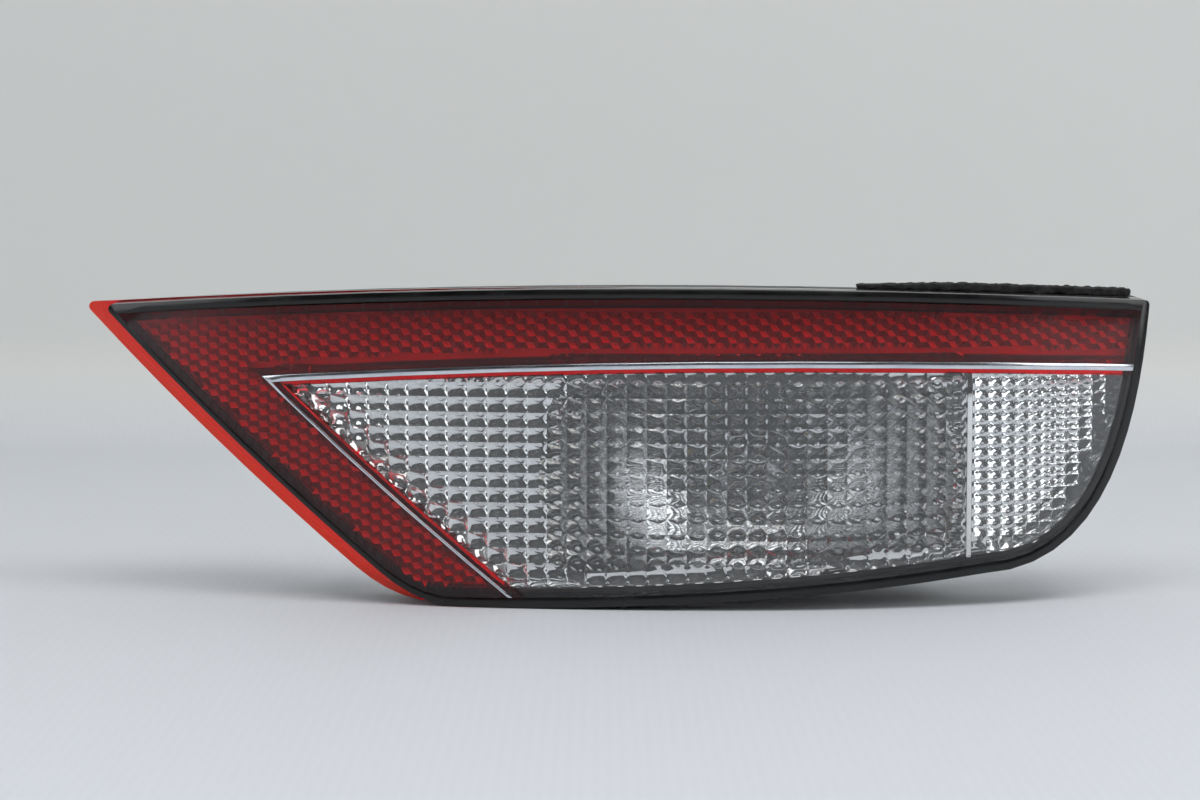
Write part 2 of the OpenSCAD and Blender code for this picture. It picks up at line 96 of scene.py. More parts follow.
@dataclass(frozen=True)
class LensFace:
    """The curved lens face in front view and plan, in millimetres, with the sizes of the part's source."""

    front_y: float = -43.0
    apex_x: float = 41.5
    left_r: float = 450.0
    right_r: float = 220.0
    corner_left_x: float = -147.0
    corner_right_x: float = 155.8
    top: float = 89.6
    top_x: float = 15.0
    top_r: float = 2040.0
    foot: float = 3.0
    foot_x: float = -50.0
    bottom_r: float = 1300.0
    bottom_end_x: float = 108.0
    slant_run: float = 90.5
    slant_bow: float = 2.2
    band_w: float = 26.6
    strip_top: float = 72.1
    strip_top_x: float = 46.5
    strip_r: float = 1850.0
    window_shift: float = 31.4
    window_drop: float = 3.3
    gasket_w: float = 3.0

    def depth_y(self, x: float, depth: float) -> float:
        """Finds a surface that lies behind the face.

        Args:
            x: Place across the lamp.
            depth: Distance behind the face, square to it in plan.

        Returns:
            The Y of that surface.
        """
        r = self.left_r if x < self.apex_x else self.right_r
        return self.front_y + r - math.sqrt(max((r - depth) ** 2 - (x - self.apex_x) ** 2, 0.0))

    def top_z(self, x: float) -> float:
        """Returns the height of the crowned top edge at x."""
        return self.top - (x - self.top_x) ** 2 / (2 * self.top_r)

    def bottom_z(self, x: float) -> float:
        """Returns the height of the crowned bottom edge at x."""
        return self.foot + (x - self.foot_x) ** 2 / (2 * self.bottom_r)

    def strip_z(self, x: float) -> float:
        """Returns the height of the bright strip's upper edge at x."""
        return self.strip_top - (x - self.strip_top_x) ** 2 / (2 * self.strip_r)

    def slant_x(self, z: float) -> float:
        """Returns the X of the slanting left edge at height z."""
        high = self.top_z(self.corner_left_x)
        t = (high - z) / (high - self.foot)
        return self.corner_left_x + self.slant_run * t - 4 * self.slant_bow * t * (1 - t)

    def right_x(self, z: float) -> float:
        """Finds the rounded right edge.

        Args:
            z: Height on the face.

        Returns:
            The X of the edge at that height.
        """
        ends = [
            (self.corner_right_x, self.top_z(self.corner_right_x)),
            (self.corner_right_x - 2.8, 53.0),
            (self.corner_right_x - 11.8, 13.0),
            (self.bottom_end_x, self.bottom_z(self.bottom_end_x)),
        ]
        low, high = 0.0, 1.0
        for _ in range(ROOT_STEPS):
            t = (low + high) / 2
            s = 1 - t
            weights = (s ** 3, 3 * s * s * t, 3 * s * t * t, t ** 3)
            x, height = (sum(w * p[i] for w, p in zip(weights, ends)) for i in (0, 1))
            low, high = (t, high) if height > z else (low, t)
        return x

    def in_window(self, x: float, z: float, slack: float, rim: float) -> bool:
        """Tests whether a point of the front view lies in the clear window.

        Args:
            x: Place across the lamp.
            z: Height of the point.
            slack: How far the field may run on behind the red lip.
            rim: Plain margin along the bottom and the right edge.

        Returns:
            True inside the window.
        """
        return (
            x > self.slant_x(z) + self.window_shift - slack
            and z < self.strip_z(x) - self.window_drop + slack
            and z > self.bottom_z(x) + rim
            and x < self.right_x(z) - rim
        )

    def in_band(self, x: float, z: float, rim: float, above: float, beside: float) -> bool:
        """Tests whether a point of the front view lies in the red reflex band.

        Args:
            x: Place across the lamp.
            z: Height of the point.
            rim: Plain margin along the outer edge.
            above: Plain margin above the bright strip.
            beside: Plain margin beside the slanting strip.

        Returns:
            True inside the band.
        """
        inside = (
            z < self.top_z(x) - rim
            and x > self.slant_x(z) + rim * 1.4
            and z > self.bottom_z(x) + rim
            and x < self.right_x(z) - rim
        )
        return inside and (z > self.strip_z(x) + above or x < self.slant_x(z) + self.band_w - beside)


FACE = LensFace()


class Bench:
    """The modelling operators, each with only the wanted piece or faces selected."""

    @staticmethod
    def clear() -> None:
        """Leaves edit mode and deselects every object."""
        if bpy.context.mode != "OBJECT":
            bpy.ops.object.mode_set(mode="OBJECT")
        bpy.ops.object.select_all(action="DESELECT")

    @staticmethod
    def take(piece: bpy.types.Object) -> None:
        """Makes one piece the only selected and the active one.

        Args:
            piece: The object to work on.
        """
        Bench.clear()
        piece.select_set(True)
        bpy.context.view_layer.objects.active = piece

    @staticmethod
    def edit(piece: bpy.types.Object) -> None:
        """Opens a piece in edit mode with all its faces selected.

        Args:
            piece: The object to work on.
        """
        Bench.take(piece)
        bpy.context.tool_settings.mesh_select_mode = (False, False, True)
        bpy.ops.object.mode_set(mode="EDIT")
        bpy.ops.mesh.select_all(action="SELECT")

    @staticmethod
    def pick(piece: bpy.types.Object, test: Callable[[bpy.types.MeshPolygon], bool]) -> int:
        """Opens a piece in edit mode with only some faces selected.

        Args:
            piece: The object to work on.
            test: Says of a face whether it is wanted.

        Returns:
            The number of faces selected.
        """
        Bench.edit(piece)
        bpy.ops.mesh.select_all(action="DESELECT")
        bpy.ops.object.mode_set(mode="OBJECT")
        wanted = [test(polygon) for polygon in piece.data.polygons]
        piece.data.polygons.foreach_set("select", wanted)
        bpy.ops.object.mode_set(mode="EDIT")
        return sum(wanted)

    @staticmethod
    def settle(piece: bpy.types.Object, name: str) -> None:
        """Puts a piece's place and turn into its mesh and names it.

        Args:
            piece: The object to settle.
            name: Its name and its mesh's name.
        """
        Bench.take(piece)
        bpy.ops.object.transform_apply(location=True, rotation=True, scale=True)
        piece.name = name
        piece.data.name = name

    @staticmethod
    def modify(piece: bpy.types.Object, kind: str, **settings: object) -> None:
        """Adds one modifier and applies it.

        Args:
            piece: The object to change.
            kind: Blender's type name of the modifier.
            **settings: Values of the modifier.
        """
        Bench.take(piece)
        modifier = piece.modifiers.new(kind.lower(), kind)
        for key, value in settings.items():
            setattr(modifier, key, value)
        bpy.ops.object.modifier_apply(modifier=modifier.name)

    @staticmethod
    def shade(piece: bpy.types.Object, shading: Shading, degrees: float = 35.0) -> None:
        """Sets how the faces meet.

        Args:
            piece: The object to shade.
            shading: Faceted or smooth.
            degrees: Edges sharper than this stay sharp.
        """
        Bench.take(piece)
        if shading is Shading.FACETED:
            bpy.ops.object.shade_flat()
        else:
            bpy.ops.object.shade_smooth_by_angle(angle=math.radians(degrees))

    @staticmethod
    def close_sheet(piece: bpy.types.Object, flat: float, shift: float) -> None:
        """Gives an open relief a flat side, so that it becomes a closed sheet.

        Args:
            piece: An open relief.
            flat: Y of the flat side, in millimetres.
            shift: Way from the relief towards the flat side, in millimetres.
        """
        Bench.edit(piece)
        bpy.ops.mesh.extrude_region_move(TRANSFORM_OT_translate={"value": (0, shift * MM, 0)})
        bpy.ops.transform.resize(value=(1, 0, 1), center_override=(0, flat * MM, 0))
        bpy.ops.mesh.select_all(action="SELECT")
        bpy.ops.mesh.normals_make_consistent(inside=False)
        Bench.clear()

    @staticmethod
    def wrap(piece: bpy.types.Object) -> None:
        """Lays a flat piece on the curved face: the Y of its points is read as depth behind the face.

        Args:
            piece: The object whose mesh is bent.
        """
        for vertex in piece.data.vertices:
            vertex.co.y = FACE.depth_y(vertex.co.x / MM, vertex.co.y / MM) * MM
        piece.data.update()


class NodeSheet:
    """Places and links shader nodes in one tree."""

    def __init__(self, tree: bpy.types.NodeTree) -> None:
        """Empties the tree.

        Args:
            tree: Tree of a material, a world or a group.
        """
        self.tree = tree
        tree.nodes.clear()

    def add(self, kind: str, inputs: dict[str | int, object] | None = None, **settings: object) -> bpy.types.Node:
        """Adds a node.

        Args:
            kind: Type name of the node.
            inputs: Socket values, or output sockets to link to them.
            **settings: Properties of the node.

        Returns:
            The new node.
        """
        node = self.tree.nodes.new(kind)
        for key, value in settings.items():
            setattr(node, key, value)
        for key, value in (inputs or {}).items():
            if isinstance(value, bpy.types.NodeSocket):
                self.tree.links.new(value, node.inputs[key])
            else:
                node.inputs[key].default_value = value
        return node

    def blend(self, factor: object, first: object, second: object) -> bpy.types.NodeSocket:
        """Mixes two colours.

        Args:
            factor: Share of the second colour, a number or a socket.
            first: The first colour.
            second: The second colour.

        Returns:
            The colour output.
        """
        node = self.add("ShaderNodeMix", {0: factor, 6: first, 7: second}, data_type="RGBA")
        return node.outputs[2]

    def span(self, value: bpy.types.NodeSocket, low: float, high: float,
             start: float = 0.0, end: float = 1.0) -> bpy.types.NodeSocket:
        """Maps a value from one range to another, held at both ends.

        Args:
            value: The value to map.
            low: Result at the start.
            high: Result at the end.
            start: Value that gives low.
            end: Value that gives high.

        Returns:
            The mapped value.
        """
        return self.add("ShaderNodeMapRange", {0: value, 1: start, 2: end, 3: low, 4: high}).outputs[0]


def grain_group() -> bpy.types.NodeTree:
    """Builds the shared group for moulded grain and mottled tone, once.

    Returns:
        A group with inputs Vector and Scale and outputs Tone and Height.
    """
    name = "moulded_grain"
    if name in bpy.data.node_groups:
        return bpy.data.node_groups[name]
    tree = bpy.data.node_groups.new(name, "ShaderNodeTree")
    tree.interface.new_socket("Vector", in_out="INPUT", socket_type="NodeSocketVector")
    tree.interface.new_socket("Scale", in_out="INPUT", socket_type="NodeSocketFloat")
    tree.interface.new_socket("Tone", in_out="OUTPUT", socket_type="NodeSocketFloat")
    tree.interface.new_socket("Height", in_out="OUTPUT", socket_type="NodeSocketFloat")
    sheet = NodeSheet(tree)
    source = sheet.add("NodeGroupInput")
    coarse_scale = sheet.add("ShaderNodeMath", {0: source.outputs["Scale"], 1: 0.06}, operation="MULTIPLY")
    fine = sheet.add("ShaderNodeTexNoise", {"Vector": source.outputs["Vector"], "Scale": source.outputs["Scale"],
                                            "Detail": 3.0, "Roughness": 0.55})
    coarse = sheet.add("ShaderNodeTexNoise", {"Vector": source.outputs["Vector"], "Scale": coarse_scale.outputs[0],
                                              "Detail": 4.0, "Roughness": 0.6})
    tone = sheet.span(coarse.outputs[0], 0.0, 1.0, 0.35, 0.68)
    sheet.add("NodeGroupOutput", {"Tone": tone, "Height": fine.outputs[0]})
    return tree


def dust_group() -> bpy.types.NodeTree:
    """Builds the shared group for a thin film of dust and wipe marks, once.

    Returns:
        A group with input Vector and output Film.
    """
    name = "dust_film"
    if name in bpy.data.node_groups:
        return bpy.data.node_groups[name]
    tree = bpy.data.node_groups.new(name, "ShaderNodeTree")
    tree.interface.new_socket("Vector", in_out="INPUT", socket_type="NodeSocketVector")
    tree.interface.new_socket("Film", in_out="OUTPUT", socket_type="NodeSocketFloat")
    sheet = NodeSheet(tree)
    source = sheet.add("NodeGroupInput")
    stretched = sheet.add("ShaderNodeMapping", {"Vector": source.outputs["Vector"], "Scale": (40.0, 40.0, 130.0)})
    wipes = sheet.add("ShaderNodeTexNoise", {"Vector": stretched.outputs[0], "Scale": 1.0, "Detail": 5.0})
    specks = sheet.add("ShaderNodeTexNoise", {"Vector": source.outputs["Vector"], "Scale": 1500.0, "Detail": 1.0})
    marks = sheet.span(wipes.outputs[0], 0.0, 0.6, 0.52, 0.75)
    spots = sheet.span(specks.outputs[0], 0.0, 1.0, 0.70, 0.76)
    film = sheet.add("ShaderNodeMath", {0: marks, 1: spots}, operation="MAXIMUM")
    sheet.add("NodeGroupOutput", {"Film": film.outputs[0]})
    return tree


@dataclass(frozen=True)
class SolidFinish:
    """An opaque finish with mottled tone, varied gloss and fine relief."""

    name: str
    colour: Colour
    second: Colour
    roughness: float
    rough_spread: float = 0.08
    metallic: float = 0.0
    grain: float = 0.8
    relief: float = 0.02
    strength: float = 0.4
    coat: float = 0.0
    dust: float = 0.0
    mask: str = ""

    def material(self) -> bpy.types.Material:
        """Builds the material once.

        Returns:
            The material of this finish.
        """
        if self.name in bpy.data.materials:
            return bpy.data.materials[self.name]
        material = bpy.data.materials.new(self.name)
        material.use_nodes = True
        sheet = NodeSheet(material.node_tree)
        place = sheet.add("ShaderNodeTexCoord").outputs["Object"]
        grain = sheet.add("ShaderNodeGroup", node_tree=grain_group())
        sheet.tree.links.new(place, grain.inputs["Vector"])
        grain.inputs["Scale"].default_value = 1.0 / (self.grain * MM)
        film = sheet.add("ShaderNodeGroup", node_tree=dust_group())
        sheet.tree.links.new(place, film.inputs["Vector"])
        dust = sheet.add("ShaderNodeMath", {0: film.outputs["Film"], 1: self.dust}, operation="MULTIPLY").outputs[0]
        tone = grain.outputs["Tone"]
        # A mask attribute, where given, replaces the random tone; the red prisms use it for a painted highlight on
        # their upward facets.
        share = sheet.add("ShaderNodeAttribute", attribute_name=self.mask).outputs["Fac"] if self.mask else tone
        colour = sheet.blend(share, self.colour, self.second)
        colour = sheet.blend(dust, colour, DUST_TINT)
        rough = sheet.span(tone, self.roughness, self.roughness + self.rough_spread)
        rough = sheet.add("ShaderNodeMath", {0: rough, 1: dust}, operation="ADD").outputs[0]
        bump = sheet.add("ShaderNodeBump", {"Strength": self.strength, "Distance": self.relief * MM,
                                            "Height": grain.outputs["Height"]})
        shader = sheet.add("ShaderNodeBsdfPrincipled", {
            "Base Color": colour, "Roughness": rough, "Metallic": self.metallic,
            "Normal": bump.outputs[0], "Coat Weight": self.coat, "Coat Roughness": 0.08,
        })
        sheet.add("ShaderNodeOutputMaterial", {"Surface": shader.outputs[0]})
        return material


@dataclass(frozen=True)
class TransparentFinish:
    """A see-through moulding that lets the lamps' light through to what lies behind it."""

    name: str
    tint: Colour
    second: Colour
    shadow: Colour
    roughness: float = 0.0
    rough_spread: float = 0.03
    ior: float = 1.49
    sheen: float = 0.5
    mask: str = ""

    def material(self) -> bpy.types.Material:
        """Builds the material once.

        Returns:
            The material of this finish.
        """
        if self.name in bpy.data.materials:
            return bpy.data.materials[self.name]
        material = bpy.data.materials.new(self.name)
        material.use_nodes = True
        sheet = NodeSheet(material.node_tree)
        place = sheet.add("ShaderNodeTexCoord").outputs["Object"]
        film = sheet.add("ShaderNodeGroup", node_tree=dust_group())
        sheet.tree.links.new(place, film.inputs["Vector"])
        if self.mask:
            mask = sheet.add("ShaderNodeAttribute", attribute_name=self.mask).outputs["Fac"]
            haze = sheet.span(mask, 0.0, 0.35)
        else:
            mask = film.outputs["Film"]
            haze = sheet.span(mask, 0.0, 0.0)
        colour = sheet.blend(mask, self.tint, self.second)
        rough = sheet.span(film.outputs["Film"], self.roughness, self.roughness + self.rough_spread)
        rough = sheet.add("ShaderNodeMath", {0: rough, 1: haze}, operation="ADD").outputs[0]
        shader = sheet.add("ShaderNodeBsdfPrincipled", {
            "Base Color": colour, "Roughness": rough, "IOR": self.ior, "Transmission Weight": 1.0,
            "Specular IOR Level": self.sheen,
        })
        path = sheet.add("ShaderNodeLightPath")
        passing = sheet.add("ShaderNodeMath", {0: path.outputs["Is Shadow Ray"], 1: path.outputs["Is Diffuse Ray"]},
                            operation="MAXIMUM")
        clear = sheet.add("ShaderNodeBsdfTransparent", {"Color": self.shadow})
        mixed = sheet.add("ShaderNodeMixShader", {0: passing.outputs[0], 1: shader.outputs[0], 2: clear.outputs[0]})
        sheet.add("ShaderNodeOutputMaterial", {"Surface": mixed.outputs[0]})
        return material


Finish = SolidFinish | TransparentFinish

RED_SHOT = TransparentFinish("red_acrylic", (0.86, 0.010, 0.018, 1), (0.92, 0.035, 0.008, 1),
                             (0.92, 0.06, 0.07, 1), sheen=0.1, mask="flange")
# Painted highlight and shade: the bright second red goes on the upward prism facets through the mask attribute, as
# if lit from above; the other facets take the darker red.
RED_PRISMS_PAINTED_GLINT = SolidFinish("red_prism_facets_painted_glint", (0.22, 0.002, 0.004, 1), (1.0, 0.06, 0.04, 1), 0.12, 0.12,
                         metallic=0.3, grain=1.6, relief=0.01, strength=0.2, mask="painted_glint")
CLEAR_SHOT = TransparentFinish("clear_acrylic", (0.97, 0.98, 0.985, 1), (0.93, 0.94, 0.95, 1), (0.93, 0.94, 0.95, 1))
PILLOWS = TransparentFinish("clear_acrylic_pillows", (0.985, 0.99, 0.995, 1), (0.95, 0.96, 0.97, 1),
                            (0.93, 0.94, 0.95, 1), rough_spread=0.01)
BULB_GLASS = TransparentFinish("bulb_glass_clear", (0.98, 0.985, 0.99, 1), (0.95, 0.95, 0.95, 1),
                               (0.96, 0.96, 0.97, 1), ior=1.5)
FOIL = SolidFinish("bright_foil", (0.78, 0.80, 0.84, 1), (0.62, 0.66, 0.74, 1), 0.14, 0.10, metallic=1.0,
                   grain=0.5, relief=0.01, strength=0.3)
METALLISED = SolidFinish("metallised_film", (0.92, 0.92, 0.92, 1), (0.82, 0.80, 0.77, 1), 0.03, 0.04,
                         metallic=1.0, grain=2.5, relief=0.02, strength=0.2)
GASKET = SolidFinish("gasket_rubber_black", (0.004, 0.004, 0.004, 1), (0.008, 0.008, 0.008, 1), 0.16, 0.12,
                     grain=0.7, relief=0.01, strength=0.15, dust=0.02)
SOFT_RUBBER = SolidFinish("soft_rubber_black", (0.016, 0.016, 0.017, 1), (0.03, 0.03, 0.03, 1), 0.5, 0.15,
                          grain=0.6, relief=0.03, dust=0.3)
FOAM = SolidFinish("open_foam_black", (0.008, 0.008, 0.008, 1), (0.03, 0.03, 0.03, 1), 0.9, 0.08, grain=0.5,
                   relief=0.35, strength=0.9)
BACKING = SolidFinish("red_backing", (0.80, 0.015, 0.025, 1), (0.60, 0.010, 0.018, 1), 0.4, 0.15, grain=1.2)
SEALANT = SolidFinish("grey_sealant", (0.12, 0.12, 0.11, 1), (0.07, 0.07, 0.07, 1), 0.6, 0.2, grain=1.5, relief=0.1)
HOUSING = SolidFinish("grained_black_plastic", (0.022, 0.022, 0.024, 1), (0.036, 0.036, 0.038, 1), 0.42, 0.16,
                      grain=0.55, relief=0.05, strength=0.5, dust=0.35)
HOLDER = SolidFinish("satin_grey_plastic", (0.075, 0.076, 0.08, 1), (0.10, 0.10, 0.105, 1), 0.36, 0.14, grain=0.6,
                     relief=0.03, dust=0.25)
CAP_BRASS = SolidFinish("drawn_brass", (0.62, 0.44, 0.20, 1), (0.48, 0.34, 0.17, 1), 0.26, 0.18, metallic=1.0,
                        grain=0.9)
INSERT_BRASS = SolidFinish("turned_brass", (0.70, 0.50, 0.22, 1), (0.55, 0.40, 0.20, 1), 0.28, 0.14, metallic=1.0,
                           grain=0.5)
TINNED = SolidFinish("tinned_brass", (0.66, 0.64, 0.60, 1), (0.50, 0.48, 0.44, 1), 0.3, 0.15, metallic=1.0,
                     grain=0.6)
ZINC = SolidFinish("zinc_plate", (0.56, 0.57, 0.60, 1), (0.44, 0.45, 0.46, 1), 0.3, 0.18, metallic=1.0,
                   grain=0.5)
SPRING = SolidFinish("spring_steel_blued", (0.34, 0.35, 0.40, 1), (0.24, 0.25, 0.30, 1), 0.32, 0.15, metallic=1.0,
                     grain=0.7)
TUNGSTEN = SolidFinish("drawn_tungsten", (0.42, 0.42, 0.44, 1), (0.30, 0.30, 0.32, 1), 0.4, 0.1, metallic=1.0,
                       grain=0.3)
INSULATOR = SolidFinish("black_insulator", (0.02, 0.02, 0.02, 1), (0.04, 0.035, 0.03, 1), 0.18, 0.12, grain=0.8)


@dataclass
class FittedPiece:
    """A CAD node's own shape, joined up, with broken edges and smooth curves."""

    node: str
    slot: Slot
    finish: Finish
    bevel: float = 0.0
    degrees: float = 32.0
    suffix: str = "finished"

    def copy(self) -> bpy.types.Object:
        """Copies the node's mesh into a new piece and merges its loose triangles.

        Returns:
            The new object, with no material.
        """
        name = f"{self.node}_{self.suffix}"
        piece = bpy.data.objects.new(name, bpy.data.objects[self.node].data.copy())
        piece.data.name = name
        piece.data.materials.clear()
        bpy.context.scene.collection.objects.link(piece)
        Bench.take(piece)
        if piece.data.has_custom_normals:
            bpy.ops.mesh.customdata_custom_splitnormals_clear()
        Bench.edit(piece)
        bpy.ops.mesh.remove_doubles(threshold=MERGE_MM * MM)
        Bench.clear()
        return piece

    def build(self) -> bpy.types.Object:
        """Builds and dresses the piece and hides the node that it stands for.

        Returns:
            The finished piece.
        """
        piece = self.copy()
        if self.bevel > 0:
            Bench.edit(piece)
            bpy.ops.mesh.dissolve_limited(angle_limit=math.radians(FLAT_DEGREES))
            Bench.clear()
            Bench.modify(piece, "BEVEL", width=self.bevel * MM, segments=2, limit_method="ANGLE",
                         angle_limit=math.radians(CORNER_DEGREES), use_clamp_overlap=True)
        Bench.shade(piece, Shading.SMOOTH, self.degrees)
        self.shape(piece)
        return self.dress(piece)

    def shape(self, piece: bpy.types.Object) -> None:
        """Does any further shaping; a plain fitted piece has none."""

    def dress(self, piece: bpy.types.Object) -> bpy.types.Object:
        """Gives the piece its finish and body and hides the node that it stands for.

        Args:
            piece: The object to dress.

        Returns:
            The same object.
        """
        piece.data.materials.append(self.finish.material())
        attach(piece, "root")
        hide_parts(self.node)
        LOG.info("%s: %d faces, finish %s", piece.name, len(piece.data.polygons), self.finish.name)
        return piece


@dataclass
class RedShot(FittedPiece):
    """The red shot, whose thin flange outside the gasket shows a lighter orange red."""

    flange_mask: str = "flange"

    def shape(self, piece: bpy.types.Object) -> None:
        """Marks the flange outside the gasket in an attribute of the mesh.

        Args:
            piece: The red shot.
        """
        mask = piece.data.attributes.new(self.flange_mask, "FLOAT", "POINT")
        for index, vertex in enumerate(piece.data.vertices):
            x, z = vertex.co.x / MM, vertex.co.z / MM
            outside = FACE.slant_x(z) - x
            mask.data[index].value = 1.0 if outside > 1.5 * FACE.gasket_w - 1.0 else 0.0


@dataclass
class FoamStrip(FittedPiece):
    """The torn-edged foam on the top edge, roughened inside the room of its CAD solid."""

    voxel: float = 0.55
    roughen: float = 1.3
    sunk_share: float = 0.62
    clump: float = 2.2
    taper: float = 55.0
    least: float = 0.5

    def build(self) -> bpy.types.Object:
        """Remeshes the strip and gives it a torn, pitted surface.

        Returns:
            The finished piece.
        """
        piece = self.copy()
        Bench.modify(piece, "REMESH", mode="VOXEL", voxel_size=self.voxel * MM)
        texture = bpy.data.textures.new("foam_clumps", "CLOUDS")
        texture.noise_scale = self.clump * MM
        texture.noise_depth = 3
        Bench.modify(piece, "DISPLACE", texture=texture, texture_coords="LOCAL", strength=self.roughen * MM,
                     mid_level=self.sunk_share)
        start = min(v.co.x for v in piece.data.vertices) / MM
        for vertex in piece.data.vertices:
            x, z = vertex.co.x / MM, vertex.co.z / MM
            rise = z - FACE.top_z(x) - FACE.gasket_w
            share = min(1.0, self.least + (x - start) / self.taper)
            vertex.co.z -= max(rise, 0.0) * (1 - share) * MM
        Bench.shade(piece, Shading.SMOOTH, SOFT_DEGREES)
        return self.dress(piece)


@dataclass
class PillowField:
    """A field of pillow optics on the back of the clear window. Sizes are in millimetres."""

    name: str
    left: float
    right: float
    cell_w: float
    cell_h: float
    crown: float = 2.3
    lean: float = 1.2
    front: float = 4.45
    web: float = 0.6
    top: float = 74.0
    slack: float = 4.2
    rim: float = 2.9
    levels: int = 2
    ridge_degrees: float = 24.0

    def build(self) -> bpy.types.Object:
        """Builds the field from a grid whose every cell is raised, rounded and closed.

        Returns:
            The finished field.
        """
        columns = max(2, round((self.right - self.left) / self.cell_w))
        rows = max(2, round(self.top / self.cell_h))
        plane = self.front + self.web
        middle = ((self.left + self.right) / 2 * MM, plane * MM, self.top / 2 * MM)
        Bench.clear()
        bpy.ops.mesh.primitive_grid_add(x_subdivisions=columns, y_subdivisions=rows, size=1.0, location=middle,
                                        rotation=(-math.pi / 2, 0, 0))
        piece = bpy.context.object
        piece.scale = ((self.right - self.left) * MM, self.top * MM, 1.0)
        Bench.settle(piece, self.name)
        Bench.pick(piece, lambda cell: not self._wanted(cell))
        bpy.ops.mesh.delete(type="FACE")
        Bench.clear()
        self._fit_border(piece)
        crease = piece.data.attributes.new("crease_edge", "FLOAT", "EDGE")
        crease.data.foreach_set("value", [1.0] * len(piece.data.edges))
        Bench.edit(piece)
        bpy.ops.mesh.poke(offset=self.crown * MM)
        Bench.clear()
        for vertex in piece.data.vertices:
            if vertex.co.y / MM > plane + self.crown / 2:
                vertex.co.x += self.lean * MM
        Bench.modify(piece, "SUBSURF", levels=self.levels, render_levels=self.levels)
        Bench.close_sheet(piece, self.front, -self.web)
        Bench.wrap(piece)
        Bench.shade(piece, Shading.SMOOTH, self.ridge_degrees)
        return dress_new(piece, PILLOWS)

    def _wanted(self, cell: bpy.types.MeshPolygon) -> bool:
        """Keeps the cells whose centre lies in the window or behind the red lip.

        Args:
            cell: One face of the grid.

        Returns:
            True if the cell stays.
        """
        centre = cell.center / MM
        return FACE.in_window(centre.x, centre.z, self.slack, self.rim)

    def _fit_border(self, piece: bpy.types.Object) -> None:
        """Moves the outermost corners onto the rounded edge, so that the border cells end on it.

        Args:
            piece: The grid, cut to the wanted cells.
        """
        for vertex in piece.data.vertices:
            x, z = vertex.co.x / MM, vertex.co.z / MM
            low = FACE.bottom_z(x) + self.rim
            if z < low + self.cell_h / 2:
                vertex.co.z = low * MM
            end = FACE.right_x(max(z, low)) - self.rim
            if x > end - self.cell_w / 2:
                vertex.co.x = end * MM


@dataclass
class ReflexField:
    """The corner prisms behind the red band, seen through it; the facets that face upwards get a painted highlight,
    the rest a darker red. Sizes are in millimetres.
    """

    name: str = "reflex_prisms"
    pitch: float = 3.5
    front: float = 4.45
    web: float = 0.35
    left: float = -150.0
    pairs: int = 51
    rows: int = 27
    rim: float = 3.4
    above: float = 4.2
    beside: float = 1.4
    joint: float = 0.02
    # Face attribute that marks the upward facets for the painted highlight.
    painted_glint_mask: str = "painted_glint"
    facing_up: float = 0.5

    def build(self) -> bpy.types.Object:
        """Models one six-sided prism, repeats it, trims the field to the band and closes it.

        Returns:
            The finished field.
        """
        level = self.pitch / math.sqrt(6)
        plane = self.front
        Bench.clear()
        bpy.ops.mesh.primitive_circle_add(vertices=6, radius=self.pitch / math.sqrt(3) * MM, fill_type="TRIFAN",
                                          rotation=(-math.pi / 2, 0, 0))
        piece = bpy.context.object
        Bench.settle(piece, self.name)
        piece.rotation_euler = (0, math.radians(90), 0)
        Bench.settle(piece, self.name)
        ring = sorted((v for v in piece.data.vertices if v.co.length > 0.5 * MM),
                      key=lambda v: math.atan2(v.co.z, v.co.x))
        for order, vertex in enumerate(ring):
            vertex.co.y += level * MM * (order % 2)
        centre = next(v for v in piece.data.vertices if v.co.length < 0.5 * MM)
        centre.co.y += 2 * level * MM
        across = self.pitch * math.sqrt(3) / 2 * MM
        steps = [(2, (across, 0, self.pitch / 2 * MM)), (self.pairs, (2 * across, 0, 0)),
                 (self.rows, (0, 0, self.pitch * MM))]
        for count, offset in steps:
            Bench.modify(piece, "ARRAY", count=count, use_relative_offset=False, use_constant_offset=True,
                         constant_offset_displace=offset)
        piece.location = (self.left * MM, plane * MM, 0)
        Bench.settle(piece, self.name)
        Bench.edit(piece)
        bpy.ops.mesh.remove_doubles(threshold=self.joint * MM)
        bpy.ops.mesh.normals_make_consistent(inside=False)
        Bench.pick(piece, lambda facet: not self._wanted(facet))
        bpy.ops.mesh.delete(type="FACE")
        Bench.close_sheet(piece, plane + 2 * level + self.web, self.web)
        Bench.wrap(piece)
        Bench.shade(piece, Shading.FACETED)
        # Painted highlight: facets that face upwards and forwards are marked for the bright red, as if lit from
        # above; the other facets get the darker red, as painted shade.
        painted_glint = piece.data.attributes.new(self.painted_glint_mask, "FLOAT", "FACE")
        for index, facet in enumerate(piece.data.polygons):
            painted_glint.data[index].value = 1.0 if facet.normal.z > self.facing_up and facet.normal.y < 0 else 0.0
        return dress_new(piece, RED_PRISMS_PAINTED_GLINT)

    def _wanted(self, facet: bpy.types.MeshPolygon) -> bool:
        """Keeps the facets that lie in the band.

        Args:
            facet: One triangle of the field.

        Returns:
            True if the facet stays.
        """
        centre = facet.center / MM
        return FACE.in_band(centre.x, centre.z, self.rim, self.above, self.beside)


